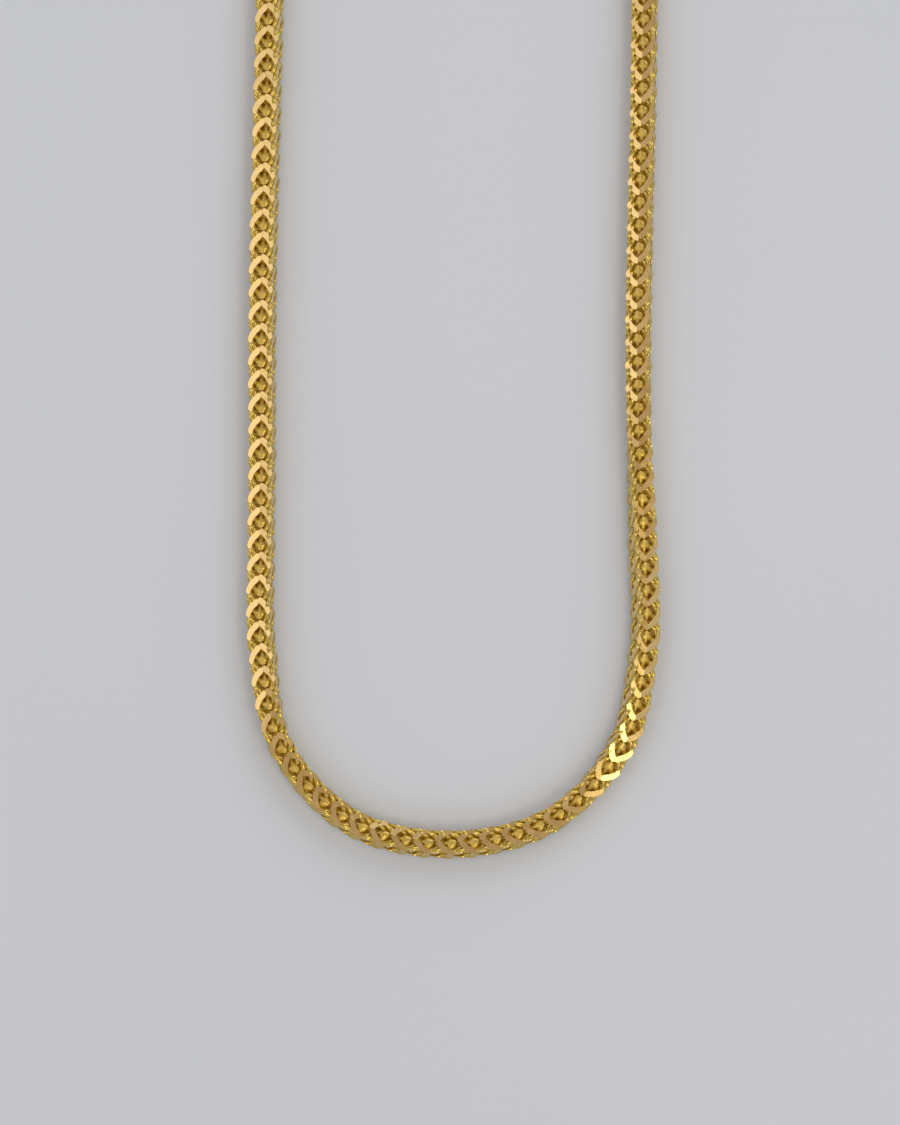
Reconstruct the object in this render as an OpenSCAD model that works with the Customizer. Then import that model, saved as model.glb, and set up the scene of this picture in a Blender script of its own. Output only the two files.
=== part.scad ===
// Franco chain necklace, closed into a loop and lying flat on a surface.
// The loop lies in the XY plane with its lowest side on z = 0.
// +Y runs from the bottom bend up to the clasp, and the row's length lies along it.
// The meshed links are one square-section form in two halves, which meet at the bottom bend.

/* [Chain] */
// Width across the flats of the square chain
chain_w = 3; // [2.8:0.1:3.2]
// Chamfer along the four corners of the chain
chain_chamfer = 0.3; // [0.2:0.05:0.5]

/* [End caps] */
// Diameter of the eye hole in each end cap and in the clasp's tail
eye_hole_d = 1.4; // [1.3:0.05:1.5]
// Width of metal round the eye hole
eye_rim = 0.45; // [0.4:0.05:0.5]
// Thickness of the eye tabs and of the clasp's tip
tab_t = 0.8; // [0.7:0.05:0.85]
// Distance from the cap's end face to the centre of its eye
eye_reach = 1.3; // [1.2:0.1:1.5]

/* [Rings] */
// Outer diameter of the two small round rings
ring_d = 3.4; // [3.3:0.05:3.5]
// Wire diameter of the two small round rings
ring_wire = 0.7; // [0.6:0.05:0.7]

/* [Clasp] */
// Length of the clasp from tail to tip
clasp_len = 11; // [10.5:0.1:11.5]
// Width of the clasp across its hook
clasp_w = 5; // [4.8:0.1:5.4]
// Thickness of the clasp's body
clasp_t = 3; // [2.4:0.1:3]
// Width of metal at the sides of the clasp's opening
clasp_side = 0.9; // [0.8:0.05:1]
// Width of metal at the clasp's tip
clasp_tip = 0.65; // [0.6:0.05:0.65]

/* [Hidden] */

gold = [0.86, 0.66, 0.32];
pale_gold = [0.92, 0.76, 0.45];
round_fn = 48;
wire_fn = 20;

// Route of the chain's centreline from the left cap round to the right cap.
// Each row is x, y and roll: the roll in degrees tips the top face towards the outside of the loop.
// The first and the last row only give the direction at the two ends.
ROUTE = [
    [-4.8, 110.4, 0],
    [-10.5, 111.8, 0],
    [-16.2, 110.4, 0],
    [-20.4, 106.6, 0],
    [-22.4, 101.4, 0],
    [-22.8, 94.6, 0],
    [-22.4, 85, 0],
    [-21.8, 71, 0],
    [-21.4, 56, 0],
    [-21.1, 41, 2],
    [-20.9, 26, 4],
    [-20.9, 10, 7],
    [-21, -5, 9],
    [-21.2, -18.5, 9.5],
    [-21.5, -30.5, 9.5],
    [-21.8, -42.5, 8.5],
    [-22, -54.5, 8],
    [-22, -66, 7],
    [-22.1, -78, 6.5],
    [-22, -90, 9],
    [-19.7, -101.6, -4],
    [-11.7, -110.2, -15],
    [-0.2, -112.8, -16],
    [11.2, -110, -7],
    [19.3, -101.5, 12],
    [22, -90, 17],
    [21.9, -78, 14],
    [21.5, -66, -3],
    [21.4, -54.2, -8.5],
    [21.6, -42.3, -9],
    [21.9, -30.5, -9],
    [22.1, -18.5, -9],
    [22.2, -5, -8],
    [22.2, 10, -6],
    [22.1, 26, -4],
    [22, 41, -2],
    [22, 56, 0],
    [22.1, 71, 0],
    [22.4, 85, 0],
    [22.8, 94.6, 0],
    [22.4, 101.4, 0],
    [20.4, 106.6, 0],
    [16.2, 110.4, 0],
    [10.5, 111.8, 0],
    [4.8, 110.4, 0]
];
first_row = 1;
middle_row = 22;
last_row = len(ROUTE) - 2;
// Sections of the swept form between two rows of the route
sections_per_row = 2;

half_w = chain_w / 2;
flat_half = half_w - chain_chamfer;
clasp_y = ROUTE[first_row][1];
half_gap = ROUTE[last_row][0];
eye_r = eye_hole_d / 2 + eye_rim;
ring_r = (ring_d - ring_wire) / 2;
// How far a bar that the ring holds lies from the ring's centre
bar_seat = ring_r - eye_hole_d / 2;
// Length from one cap's end face to the other, over the rings and the clasp
fittings_len = 2 * eye_reach + 4 * ring_r + clasp_len - eye_r - clasp_tip - eye_hole_d / 2;
cap_len = half_gap - fittings_len / 2;
left_eye_x = -half_gap + cap_len + eye_reach;
jump_ring_x = left_eye_x + ring_r;
tail_x = jump_ring_x + ring_r;
tip_x = tail_x - eye_r + clasp_len;
end_ring_x = tip_x - clasp_tip + bar_seat;
right_eye_x = end_ring_x + ring_r;

// Corners of the chain's square section with its corners cut, from the section's centre
SECTION = [
    [half_w, -flat_half], [half_w, flat_half], [flat_half, half_w], [-flat_half, half_w],
    [-half_w, flat_half], [-half_w, -flat_half], [-flat_half, -half_w], [flat_half, -half_w]
];

// Point and slope of the smooth curve through the route's rows, t going from 0 to 1 after row i
function on_route(i, t) =
    let (a = ROUTE[i - 1], b = ROUTE[i], c = ROUTE[i + 1], d = ROUTE[i + 2])
    0.5 * (2 * b + (c - a) * t + (2 * a - 5 * b + 4 * c - d) * t * t + (3 * b - a - 3 * c + d) * t * t * t);
function slope(i, t) =
    let (a = ROUTE[i - 1], b = ROUTE[i], c = ROUTE[i + 1], d = ROUTE[i + 2])
    0.5 * ((c - a) + 2 * (2 * a - 5 * b + 4 * c - d) * t + 3 * (3 * b - a - 3 * c + d) * t * t);

// Height of the centreline at which the rolled section just touches z = 0
function rest_height(roll) = half_w * cos(roll) + flat_half * sin(abs(roll));

// The section's corners in space: out points to the outside of the loop and up along the top face
function ring_points(i, t) =
    let (
        p = on_route(i, t),
        s = slope(i, t),
        way = [s[0], s[1]] / norm([s[0], s[1]]),
        roll = p[2],
        side = [way[1], -way[0], 0],
        out = side * cos(roll) - [0, 0, sin(roll)],
        up = side * sin(roll) + [0, 0, cos(roll)],
        centre = [p[0], p[1], rest_height(roll)]
    )
    [for (c = SECTION) centre + out * c[0] + up * c[1]];

// Square-section form swept along the route from one row to another
module swept_chain(from_row, to_row) {
    n = len(SECTION);
    steps = (to_row - from_row) * sections_per_row;
    points = [
        for (k = [0:steps])
            let (i = min(from_row + floor(k / sections_per_row), to_row - 1))
            each ring_points(i, k / sections_per_row - (i - from_row))
    ];
    sides = [
        for (k = [0:steps - 1], j = [0:n - 1])
            let (m = (j + 1) % n)
            each [
                [k * n + j, k * n + m, (k + 1) * n + m],
                [k * n + j, (k + 1) * n + m, (k + 1) * n + j]
            ]
    ];
    near_end = [[for (j = [n - 1:-1:0]) j]];
    far_end = [[for (j = [0:n - 1]) steps * n + j]];
    polyhedron(points, concat(near_end, sides, far_end));
}

// Outline round two circles on the X axis, with the straight lines that touch both
module drop_outline(x1, r1, x2, r2) {
    lean = acos((r1 - r2) / (x2 - x1));
    reach = [cos(lean), sin(lean)];
    translate([x1, 0]) circle(r1, $fn = round_fn);
    translate([x2, 0]) circle(r2, $fn = round_fn);
    polygon([
        [x1 + r1 * reach[0], r1 * reach[1]],
        [x1 + r1 * reach[0], -r1 * reach[1]],
        [x2 + r2 * reach[0], -r2 * reach[1]],
        [x2 + r2 * reach[0], r2 * reach[1]]
    ]);
}

// Cap with its eye towards +X, its block starting at x = 0
module end_cap() {
    translate([0, 0, half_w])
        rotate([90, 0, 90])
            linear_extrude(cap_len) polygon(SECTION);
    translate([cap_len, 0, half_w - tab_t / 2])
        difference() {
            linear_extrude(tab_t) {
                translate([0, -eye_r]) square([eye_reach, 2 * eye_r]);
                translate([eye_reach, 0]) circle(eye_r, $fn = round_fn);
            }
            translate([eye_reach, 0, -tab_t])
                cylinder(h = 3 * tab_t, d = eye_hole_d, $fn = round_fn);
        }
}

// Ring that stands on edge through two flat eyes
module small_ring(x) {
    translate([x, clasp_y, ring_d / 2])
        rotate([90, 0, 0])
            rotate_extrude($fn = round_fn)
                translate([ring_r, 0]) circle(d = ring_wire, $fn = wire_fn);
}

module chain_left() {
    color(gold) swept_chain(first_row, middle_row);
}

module chain_right() {
    color(gold) swept_chain(middle_row, last_row);
}

module end_cap_left() {
    color(pale_gold) translate([-half_gap, clasp_y, 0]) end_cap();
}

module end_cap_right() {
    color(pale_gold) translate([half_gap, clasp_y, 0]) rotate([0, 0, 180]) end_cap();
}

module jump_ring() {
    color(gold) small_ring(jump_ring_x);
}

module end_ring() {
    color(gold) small_ring(end_ring_x);
}

// Closed hook in one piece: a drop-shaped frame, thick in the middle and thin at tail and tip
module clasp() {
    hook_r = clasp_w / 2;
    hook_x = clasp_len - eye_r - hook_r;
    body_x = 3;
    body_r = 1.7;
    inner_r = hook_r - clasp_side;
    inner_x = clasp_len - eye_r - clasp_tip - inner_r;
    throat_x = body_x + body_r;
    throat_r = 0.7;
    thin = tab_t / 2;
    thick = clasp_t / 2;
    tail_end = -eye_r;
    tip_end = clasp_len - eye_r;
    side_profile = [
        [tail_end, -thin], [eye_r, -thin], [body_x, -thick], [hook_x, -thick], [tip_end - 1, -thin],
        [tip_end, -thin], [tip_end, thin], [tip_end - 1, thin], [hook_x, thick], [body_x, thick],
        [eye_r, thin], [tail_end, thin]
    ];
    color(pale_gold)
        translate([tail_x, clasp_y, half_w])
            difference() {
                intersection() {
                    translate([0, 0, -clasp_t])
                        linear_extrude(2 * clasp_t) {
                            drop_outline(0, eye_r, body_x, body_r);
                            drop_outline(body_x, body_r, hook_x, hook_r);
                        }
                    rotate([90, 0, 0])
                        translate([0, 0, -clasp_w])
                            linear_extrude(2 * clasp_w) polygon(side_profile);
                }
                translate([0, 0, -clasp_t])
                    linear_extrude(2 * clasp_t) drop_outline(throat_x, throat_r, inner_x, inner_r);
                translate([0, 0, -clasp_t])
                    cylinder(h = 2 * clasp_t, d = eye_hole_d, $fn = round_fn);
            }
}

chain_left();
chain_right();
end_cap_left();
jump_ring();
clasp();
end_ring();
end_cap_right();
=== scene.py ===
import bisect
import math
import random

import bmesh
import bpy
from mathutils import Matrix, Vector


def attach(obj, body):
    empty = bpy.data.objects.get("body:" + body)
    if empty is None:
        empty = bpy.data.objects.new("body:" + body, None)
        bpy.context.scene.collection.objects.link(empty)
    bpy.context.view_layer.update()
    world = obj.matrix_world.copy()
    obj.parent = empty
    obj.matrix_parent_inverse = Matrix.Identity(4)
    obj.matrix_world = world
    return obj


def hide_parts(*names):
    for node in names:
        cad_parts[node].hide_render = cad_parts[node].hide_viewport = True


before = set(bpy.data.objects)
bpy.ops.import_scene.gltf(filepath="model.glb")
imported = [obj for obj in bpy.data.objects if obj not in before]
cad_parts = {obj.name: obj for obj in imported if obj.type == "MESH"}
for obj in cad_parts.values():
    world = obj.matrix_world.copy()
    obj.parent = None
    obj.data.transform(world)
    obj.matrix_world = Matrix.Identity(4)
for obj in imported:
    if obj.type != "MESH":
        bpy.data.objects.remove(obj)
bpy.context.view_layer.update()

# One millimetre in metres
MM = 0.001

# The chain's square section, in metres: half its width, and half of a side between the cut corners
HALF_CHAIN = 0.0015
FLAT_HALF = 0.0012

# Two links that lie the same way are one pitch apart, with a link turned by a quarter between
# them. The first and the last link start this far from the two ends of the chain.
LINK_PITCH = 0.00263
FIRST_LINK = 0.0006
LAST_LINK = 0.00235

# How far a link may lean from the chain's line, in degrees, and the seed of its random lean
MOST_LEAN = 1.2
LEAN_SEED = 11

# A link is cut on two opposite sides, each in two slopes: height of the ridge between them, and
# their drop to the edges. The tips of the links between stand a little proud of them.
FLAT_TOP = 0.00139
FLAT_DROP = 0.00008
# The block that makes the cuts reaches past both ends of a link
BLOCK_START = -0.004
BLOCK_LENGTH = 0.011

# Limit of a link's thick core to its two sides, which keeps it between its neighbours
CORE_HALF = 0.00078
# What the limit gains for each metre along the link
CORE_SLOPE = 0.17
# Height above and below the middle from which the limit widens one for one
CORE_FLAT = 0.0005
# Distance along the link at which the limit ends
CORE_END = 0.0014

# Wire nearer to the chain's line than this has the duller finish of the inside
INSIDE_REACH = 0.00112

# Finishes of a link, in the order of its materials
WIRE_FINISH = 0
FLAT_FINISH = 1
INSIDE_FINISH = 2

# Way of the chain: x, y and roll in degrees, from the left end cap to the right one
CHAIN_WAY = [
    (-0.0048, 0.1104, 0), (-0.0105, 0.1118, 0), (-0.0162, 0.1104, 0), (-0.0204, 0.1066, 0),
    (-0.0224, 0.1014, 0), (-0.0228, 0.0946, 0), (-0.0224, 0.085, 0), (-0.0218, 0.071, 0),
    (-0.0214, 0.056, 0), (-0.0211, 0.041, 2), (-0.0209, 0.026, 4), (-0.0209, 0.01, 7),
    (-0.021, -0.005, 9), (-0.0212, -0.0185, 9.5), (-0.0215, -0.0305, 9.5), (-0.0218, -0.0425, 8.5),
    (-0.022, -0.0545, 8), (-0.022, -0.066, 7), (-0.0221, -0.078, 6.5), (-0.022, -0.09, 9),
    (-0.0197, -0.1016, -4), (-0.0117, -0.1102, -15), (-0.0002, -0.1128, -16), (0.0112, -0.11, -7),
    (0.0193, -0.1015, 12), (0.022, -0.09, 17), (0.0219, -0.078, 14), (0.0215, -0.066, -3),
    (0.0214, -0.0542, -8.5), (0.0216, -0.0423, -9), (0.0219, -0.0305, -9), (0.0221, -0.0185, -9),
    (0.0222, -0.005, -8), (0.0222, 0.01, -6), (0.0221, 0.026, -4), (0.022, 0.041, -2),
    (0.022, 0.056, 0), (0.0221, 0.071, 0), (0.0224, 0.085, 0), (0.0228, 0.0946, 0),
    (0.0224, 0.1014, 0), (0.0204, 0.1066, 0), (0.0162, 0.1104, 0), (0.0105, 0.1118, 0),
    (0.0048, 0.1104, 0),
]
# The first and the last row only give the direction at the two ends, and the two halves of the
# chain meet at the middle row
FIRST_ROW = 1
MIDDLE_ROW = 22
LAST_ROW = len(CHAIN_WAY) - 2
# Number of short straight steps between two rows
WAY_STEPS = 60

# Radius of a link's wire in metres
WIRE_RADIUS = 0.00036
# Half of one link's wire in millimetres: up, out, along the chain, and its thickness as a share
# of the wire's. The other half is the same, turned half round the chain's line.
LINK_WIRE = [
    (0.00, -0.20, 0.20, 2.78), (0.84, -0.25, 0.06, 1.45), (1.25, -0.25, 0.00, 1.02),
    (1.31, -0.58, 0.24, 0.95), (1.26, -0.89, 0.68, 0.92), (1.15, -1.15, 1.20, 0.92),
    (0.90, -1.00, 1.74, 0.94), (0.76, -0.76, 2.40, 1.08), (0.74, 0.00, 2.82, 1.20),
    (0.78, 0.72, 2.56, 1.08), (0.90, 0.98, 2.16, 0.95), (1.15, 1.15, 1.62, 0.92),
    (1.26, 0.98, 1.14, 0.93), (1.30, 0.67, 0.68, 0.95), (1.28, 0.22, 0.24, 1.00),
    (0.84, 0.18, 0.08, 1.45),
]

# Share of a cut link's faces that is kept
KEPT_FACES = 0.78

# Points nearer to each other than this become one, in metres: in whole forms, and in a cut link
SAME_POINT = 1e-7
SAME_CUT_POINT = 2e-6

# Angles between faces in degrees: up to which two faces are level, from which an edge of a
# fitting is rounded, and from which an edge stays sharp
LEVEL_ANGLE = 2
ROUNDED_ANGLE = 28
FITTING_CREASE = 35
LINK_CREASE = 55

# Each fitting's solid and piece, and how far its edges are rounded, in metres
FITTINGS = [
    ("end_cap_left", "cap_left", 0.00012),
    ("end_cap_right", "cap_right", 0.00012),
    ("clasp", "lobster_clasp", 0.00018),
    ("jump_ring", "jump_ring_wire", 0.0),
    ("end_ring", "end_ring_wire", 0.0),
]

# Point that the lamps look at
LAMP_AIM = (0, -0.06, 0)

# Colours of the studio's sky: height as a share of straight above, and the colour there
SKY_TONES = [
    (0.0, (0.42, 0.42, 0.43)),
    (0.36, (0.44, 0.44, 0.45)),
    (0.48, (0.66, 0.67, 0.70)),
    (0.68, (0.66, 0.665, 0.68)),
    (0.82, (0.42, 0.345, 0.28)),
]

# The view straight down, in metres: its middle, its height, and how high the chain's middle is
# above the floor, from where the camera's distance is counted
VIEW_CENTRE = (-0.00033, -0.0803)
VIEW_HEIGHT = 0.1298
CHAIN_MIDDLE = 0.0016
CAMERA_DISTANCE = 0.46
# Height of the camera's sensor in millimetres
SENSOR = 36
# Half of the floor's side
HALF_FLOOR = 1.6

# Values of the noise between which a material's tone and its haze change
TONE_RANGE = (0.35, 0.65)
HAZE_RANGE = (0.3, 0.7)


# Materials: noise on Object coordinates gives the tone, the haze and the grain

def noise_of(tree, scale, detail):
    place = tree.nodes.new("ShaderNodeTexCoord")
    noise = tree.nodes.new("ShaderNodeTexNoise")
    noise.inputs["Scale"].default_value = scale
    noise.inputs["Detail"].default_value = detail
    tree.links.new(place.outputs["Object"], noise.inputs["Vector"])
    return noise.outputs["Fac"]


def colour_between(tree, factor, low, high):
    ramp = tree.nodes.new("ShaderNodeValToRGB")
    for element, share, colour in zip(ramp.color_ramp.elements, TONE_RANGE, (low, high)):
        element.position = share
        element.color = (*colour, 1)
    tree.links.new(factor, ramp.inputs["Fac"])
    return ramp.outputs["Color"]


def polished_gold(name, deep, bright, smooth, rough, tone_scale, grain_scale, grain_depth):
    material = bpy.data.materials.new(name)
    material.use_nodes = True
    tree = material.node_tree
    shader = tree.nodes["Principled BSDF"]
    shader.inputs["Metallic"].default_value = 1
    tone = noise_of(tree, tone_scale, detail=3)
    tree.links.new(colour_between(tree, tone, deep, bright), shader.inputs["Base Color"])
    haze = tree.nodes.new("ShaderNodeMapRange")
    haze.inputs["From Min"].default_value = HAZE_RANGE[0]
    haze.inputs["From Max"].default_value = HAZE_RANGE[1]
    haze.inputs["To Min"].default_value = smooth
    haze.inputs["To Max"].default_value = rough
    tree.links.new(tone, haze.inputs["Value"])
    tree.links.new(haze.outputs["Result"], shader.inputs["Roughness"])
    bump = tree.nodes.new("ShaderNodeBump")
    bump.inputs["Strength"].default_value = 1
    bump.inputs["Distance"].default_value = grain_depth
    tree.links.new(noise_of(tree, grain_scale, detail=2), bump.inputs["Height"])
    tree.links.new(bump.outputs["Normal"], shader.inputs["Normal"])
    return material


# The wires' gold is the chain's gold painted darker and more saturated than that of the cut flats
# and the fittings. This is painted shade: it stands for the shade and the gold-tinted reflections
# that the wires get from the links around them and from the floor near the chain.
wire_gold_and_shade = polished_gold(
    "chain_wire_gold", deep=(0.66, 0.485, 0.115), bright=(0.75, 0.555, 0.15),
    smooth=0.14, rough=0.25, tone_scale=900, grain_scale=5200, grain_depth=0.000012)
flat_gold = polished_gold(
    "chain_cut_flat_gold", deep=(0.82, 0.61, 0.265), bright=(0.86, 0.655, 0.31),
    smooth=0.17, rough=0.25, tone_scale=700, grain_scale=6400, grain_depth=0.000003)
# The inside's gold is painted darker and more saturated in the same way, as painted shade. Its
# higher roughness is the duller finish of the inside.
inside_gold_and_shade = polished_gold(
    "chain_inside_gold", deep=(0.68, 0.505, 0.13), bright=(0.79, 0.59, 0.17),
    smooth=0.32, rough=0.44, tone_scale=900, grain_scale=5200, grain_depth=0.00002)
fitting_gold = polished_gold(
    "fitting_gold", deep=(0.92, 0.72, 0.32), bright=(0.96, 0.77, 0.37),
    smooth=0.10, rough=0.20, tone_scale=600, grain_scale=5000, grain_depth=0.000006)


# Way of the chain as a smooth line of short steps, with the distance run at each of its points

# Point of the way after that row, with the share going from 0 there to 1 at the next row
def on_way(row, share):
    before, here, after, beyond = [Vector(CHAIN_WAY[row + k]) for k in (-1, 0, 1, 2)]
    return 0.5 * (2 * here + (after - before) * share
                  + (2 * before - 5 * here + 4 * after - beyond) * share ** 2
                  + (3 * here - before - 3 * after + beyond) * share ** 3)


way_points = []
for row in range(FIRST_ROW, LAST_ROW):
    for step in range(WAY_STEPS):
        way_points.append(on_way(row, step / WAY_STEPS))
way_points.append(on_way(LAST_ROW - 1, 1))
way_lengths = [0.0]
for near, far in zip(way_points, way_points[1:]):
    way_lengths.append(way_lengths[-1] + (far - near).xy.length)
way_length = way_lengths[-1]
middle_length = way_lengths[(MIDDLE_ROW - FIRST_ROW) * WAY_STEPS]


# Matrix that puts a link at that distance along the way: x up, y out of the loop, z along
def chain_place(distance):
    low = min(bisect.bisect_right(way_lengths, distance) - 1, len(way_lengths) - 2)
    share = (distance - way_lengths[low]) / (way_lengths[low + 1] - way_lengths[low])
    point = way_points[low].lerp(way_points[low + 1], share)
    along = (way_points[low + 1] - way_points[low]).xy.normalized().to_3d()
    side = Vector((along.y, -along.x, 0))
    roll = math.radians(point.z)
    out = side * math.cos(roll) - Vector((0, 0, math.sin(roll)))
    up = side * math.sin(roll) + Vector((0, 0, math.cos(roll)))
    height = HALF_CHAIN * math.cos(roll) + FLAT_HALF * abs(math.sin(roll))
    place = Matrix((up, out, along)).transposed().to_4x4()
    place.translation = (point.x, point.y, height)
    return place


# What every piece gets

def crease_edges(shape, crease):
    for edge in shape.edges:
        edge.smooth = not edge.is_manifold or edge.calc_face_angle(0) < math.radians(crease)


def finish_piece(shape, name, node, materials):
    mesh = bpy.data.meshes.new(name)
    shape.to_mesh(mesh)
    shape.free()
    for material in materials:
        mesh.materials.append(material)
    piece = bpy.data.objects.new(name, mesh)
    bpy.context.scene.collection.objects.link(piece)
    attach(piece, "root")
    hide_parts(node)


# One link: a round wire bent to its loop, then cut flat on two opposite sides

def finished_mesh(thing):
    bpy.context.view_layer.update()
    depsgraph = bpy.context.evaluated_depsgraph_get()
    return bpy.data.meshes.new_from_object(thing.evaluated_get(depsgraph))


def bent_wire():
    curve = bpy.data.curves.new("link_wire", "CURVE")
    curve.dimensions = "3D"
    curve.bevel_depth = WIRE_RADIUS
    curve.bevel_resolution = 2
    curve.resolution_u = 2
    turned = [(-x, -y, z, thick) for x, y, z, thick in LINK_WIRE]
    wire = LINK_WIRE + turned
    spline = curve.splines.new("BEZIER")
    spline.bezier_points.add(len(wire) - 1)
    for point, (x, y, z, thick) in zip(spline.bezier_points, wire):
        point.co = Vector((x, y, z)) * MM
        point.radius = thick
        point.handle_left_type = "AUTO"
        point.handle_right_type = "AUTO"
    spline.use_cyclic_u = True
    carrier = bpy.data.objects.new("link_wire", curve)
    bpy.context.scene.collection.objects.link(carrier)
    mesh = finished_mesh(carrier)
    bpy.data.objects.remove(carrier)
    bpy.data.curves.remove(curve)
    shape = bmesh.new()
    shape.from_mesh(mesh)
    bmesh.ops.remove_doubles(shape, verts=shape.verts, dist=SAME_POINT)
    for vert in shape.verts:
        if vert.co.z < CORE_END:
            reach = CORE_HALF + CORE_SLOPE * vert.co.z + max(0, abs(vert.co.x) - CORE_FLAT)
            vert.co.y = max(-reach, min(reach, vert.co.y))
    for face in shape.faces:
        face.smooth = True
    shape.to_mesh(mesh)
    shape.free()
    return mesh


# Block whose faces are the cut flats and the chain's sides: only the wire inside it is kept
def flats_block():
    eaves = FLAT_TOP - FLAT_DROP
    rim = [(FLAT_TOP, 0), (eaves, HALF_CHAIN), (-eaves, HALF_CHAIN),
           (-FLAT_TOP, 0), (-eaves, -HALF_CHAIN), (eaves, -HALF_CHAIN)]
    shape = bmesh.new()
    foot = shape.faces.new([shape.verts.new((x, y, BLOCK_START)) for x, y in rim])
    body = bmesh.ops.extrude_face_region(shape, geom=[foot])["geom"]
    head = [part for part in body if isinstance(part, bmesh.types.BMVert)]
    bmesh.ops.translate(shape, verts=head, vec=(0, 0, BLOCK_LENGTH))
    bmesh.ops.recalc_face_normals(shape, faces=shape.faces)
    for face in shape.faces:
        face.material_index = FLAT_FINISH
    mesh = bpy.data.meshes.new("flats_block")
    shape.to_mesh(mesh)
    shape.free()
    return mesh


def make_link():
    wire = bpy.data.objects.new("link_wire", bent_wire())
    block = bpy.data.objects.new("flats_block", flats_block())
    for thing in (wire, block):
        bpy.context.scene.collection.objects.link(thing)
    cut = wire.modifiers.new("flats", "BOOLEAN")
    cut.operation = "INTERSECT"
    cut.solver = "EXACT"
    cut.use_self = True
    cut.object = block
    fewer = wire.modifiers.new("fewer_faces", "DECIMATE")
    fewer.ratio = KEPT_FACES
    mesh = finished_mesh(wire)
    for thing in (wire, block):
        bpy.data.objects.remove(thing)
    link = bmesh.new()
    link.from_mesh(mesh)
    bmesh.ops.remove_doubles(link, verts=link.verts, dist=SAME_CUT_POINT)
    bmesh.ops.dissolve_degenerate(link, edges=link.edges, dist=SAME_CUT_POINT)
    bmesh.ops.recalc_face_normals(link, faces=link.faces)
    for face in link.faces:
        face.smooth = face.material_index == WIRE_FINISH
        if face.smooth and face.calc_center_median().xy.length < INSIDE_REACH:
            face.material_index = INSIDE_FINISH
    crease_edges(link, LINK_CREASE)
    link.to_mesh(mesh)
    link.free()
    return mesh


# The two halves of the chain, each link turned by a quarter from the one before it

def link_halves():
    link_mesh = make_link()
    link_run = way_length - FIRST_LINK - LAST_LINK
    link_count = round(link_run / (LINK_PITCH / 2)) + 1
    link_step = link_run / (link_count - 1)
    play = random.Random(LEAN_SEED)
    halves = {"left": bmesh.new(), "right": bmesh.new()}
    for number in range(link_count):
        distance = FIRST_LINK + number * link_step
        quarter_turn = Matrix.Rotation(math.radians(90 * (number % 2)), 4, "Z")
        axis = Vector((play.uniform(-1, 1), play.uniform(-1, 1), play.uniform(-1, 1)))
        lean = Matrix.Rotation(math.radians(play.uniform(0, MOST_LEAN)), 4, axis)
        link = link_mesh.copy()
        link.transform(chain_place(distance) @ lean @ quarter_turn)
        halves["left" if distance < middle_length else "right"].from_mesh(link)
        bpy.data.meshes.remove(link)
    bpy.data.meshes.remove(link_mesh)
    for side, shape in halves.items():
        finish_piece(
            shape, "franco_links_" + side, "chain_" + side,
            [wire_gold_and_shade, flat_gold, inside_gold_and_shade])


# Caps, rings and clasp: the solids' own forms, with the edges of the caps and the clasp rounded

def rounded_fitting(node, name, edge_round):
    shape = bmesh.new()
    shape.from_mesh(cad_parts[node].data)
    bmesh.ops.remove_doubles(shape, verts=shape.verts, dist=SAME_POINT)
    bmesh.ops.dissolve_limit(
        shape, angle_limit=math.radians(LEVEL_ANGLE), verts=shape.verts, edges=shape.edges)
    corners = [edge for edge in shape.edges
               if edge.is_manifold and edge.calc_face_angle(0) > math.radians(ROUNDED_ANGLE)]
    bmesh.ops.bevel(
        shape, geom=corners, offset=edge_round, offset_type="OFFSET", segments=3,
        affect="EDGES", profile=0.5, material=-1, clamp_overlap=True)
    for face in shape.faces:
        face.smooth = True
    crease_edges(shape, FITTING_CREASE)
    finish_piece(shape, name, node, [fitting_gold])


# Floor, light and camera

def pale_floor():
    floor_shape = bmesh.new()
    bmesh.ops.create_grid(floor_shape, x_segments=2, y_segments=2, size=HALF_FLOOR)
    mesh = bpy.data.meshes.new("pale_floor")
    floor_shape.to_mesh(mesh)
    floor_shape.free()
    material = bpy.data.materials.new("pale_floor")
    material.use_nodes = True
    tree = material.node_tree
    shader = tree.nodes["Principled BSDF"]
    shader.inputs["Roughness"].default_value = 0.55
    tone = noise_of(tree, scale=9, detail=2)
    colour = colour_between(tree, tone, low=(0.77, 0.832, 0.955), high=(0.79, 0.852, 0.972))
    tree.links.new(colour, shader.inputs["Base Color"])
    mesh.materials.append(material)
    floor = bpy.data.objects.new("pale_floor", mesh)
    bpy.context.scene.collection.objects.link(floor)


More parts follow.
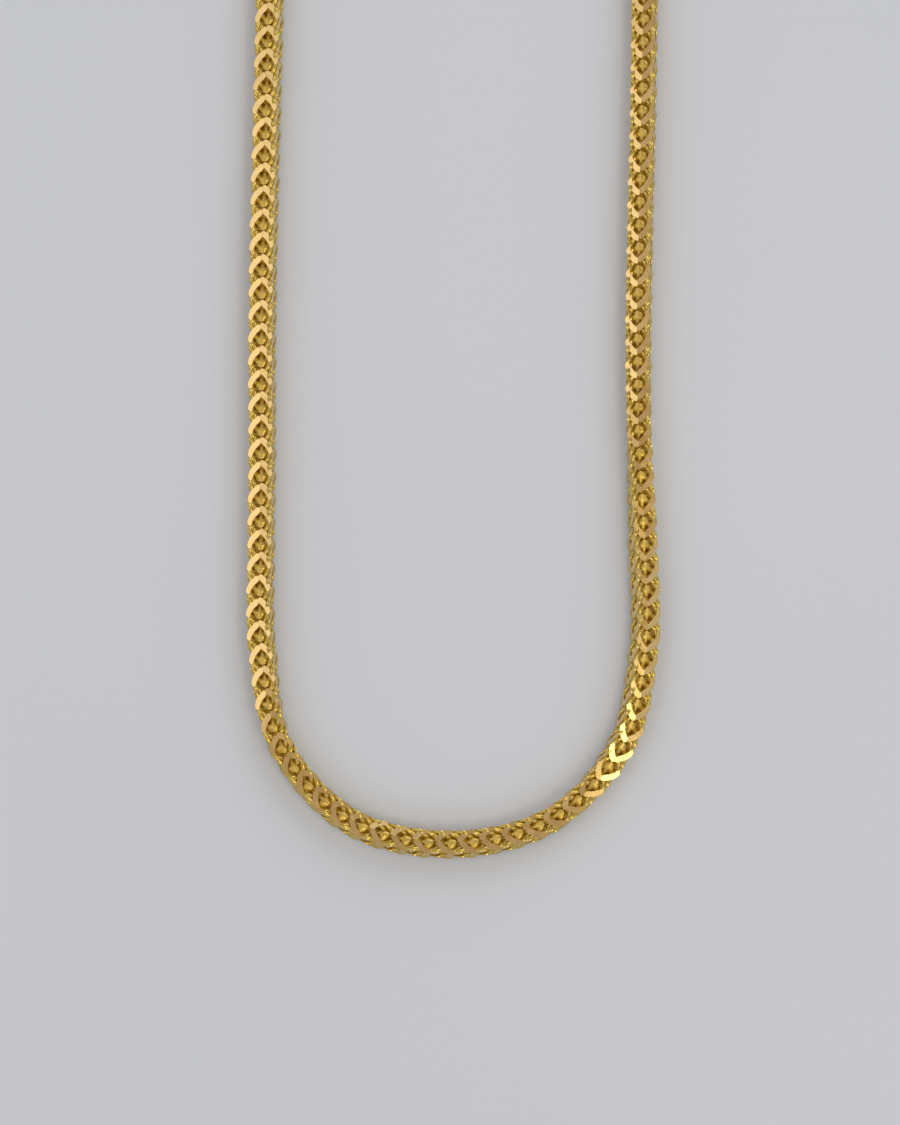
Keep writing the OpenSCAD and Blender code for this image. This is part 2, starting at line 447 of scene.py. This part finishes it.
# Round lamp: its turn is counted from +X and its lean from straight above, both in degrees, and
# its power follows from its brightness and its area
def soft_lamp(name, turn, lean, distance, width, brightness, colour):
    lamp = bpy.data.lights.new(name, "AREA")
    lamp.shape = "DISK"
    lamp.size = width
    lamp.energy = brightness * math.pi * math.pi * (width / 2) ** 2
    lamp.color = colour
    holder = bpy.data.objects.new(name, lamp)
    bpy.context.scene.collection.objects.link(holder)
    turn = math.radians(turn)
    lean = math.radians(lean)
    away = Vector((math.cos(turn) * math.sin(lean), math.sin(turn) * math.sin(lean), math.cos(lean)))
    holder.location = Vector(LAMP_AIM) + away * distance
    holder.rotation_euler = away.to_track_quat("Z", "Y").to_euler()


def studio_sky():
    world = bpy.data.worlds.new("studio")
    bpy.context.scene.world = world
    world.use_nodes = True
    tree = world.node_tree
    direction = tree.nodes.new("ShaderNodeTexCoord")
    height = tree.nodes.new("ShaderNodeSeparateXYZ")
    sky = tree.nodes.new("ShaderNodeValToRGB")
    lowest, *between, highest = SKY_TONES
    for element, (share, colour) in zip(sky.color_ramp.elements, (lowest, highest)):
        element.position = share
        element.color = (*colour, 1)
    for share, colour in between:
        sky.color_ramp.elements.new(share).color = (*colour, 1)
    tree.links.new(direction.outputs["Generated"], height.inputs["Vector"])
    tree.links.new(height.outputs["Z"], sky.inputs["Fac"])
    tree.links.new(sky.outputs["Color"], tree.nodes["Background"].inputs["Color"])


def camera_above():
    camera = bpy.data.cameras.new("camera")
    camera.sensor_fit = "VERTICAL"
    camera.sensor_height = SENSOR
    camera.lens = SENSOR * CAMERA_DISTANCE / VIEW_HEIGHT
    holder = bpy.data.objects.new("camera", camera)
    holder.location = (*VIEW_CENTRE, CAMERA_DISTANCE + CHAIN_MIDDLE)
    bpy.context.scene.collection.objects.link(holder)
    bpy.context.scene.camera = holder
    bpy.context.scene.view_settings.view_transform = "Standard"


link_halves()
for node, name, edge_round in FITTINGS:
    rounded_fitting(node, name, edge_round)
pale_floor()
soft_lamp(
    "softbox_left", turn=180, lean=24, distance=0.7, width=0.36,
    brightness=0.83, colour=(1, 0.97, 0.92))
soft_lamp(
    "key_upper_right", turn=62, lean=56, distance=0.9, width=0.7,
    brightness=0.85, colour=(1, 0.99, 0.97))
soft_lamp(
    "spark_lower_right", turn=-38, lean=25, distance=0.7, width=0.26,
    brightness=3.2, colour=(1, 0.88, 0.58))
studio_sky()
camera_above()
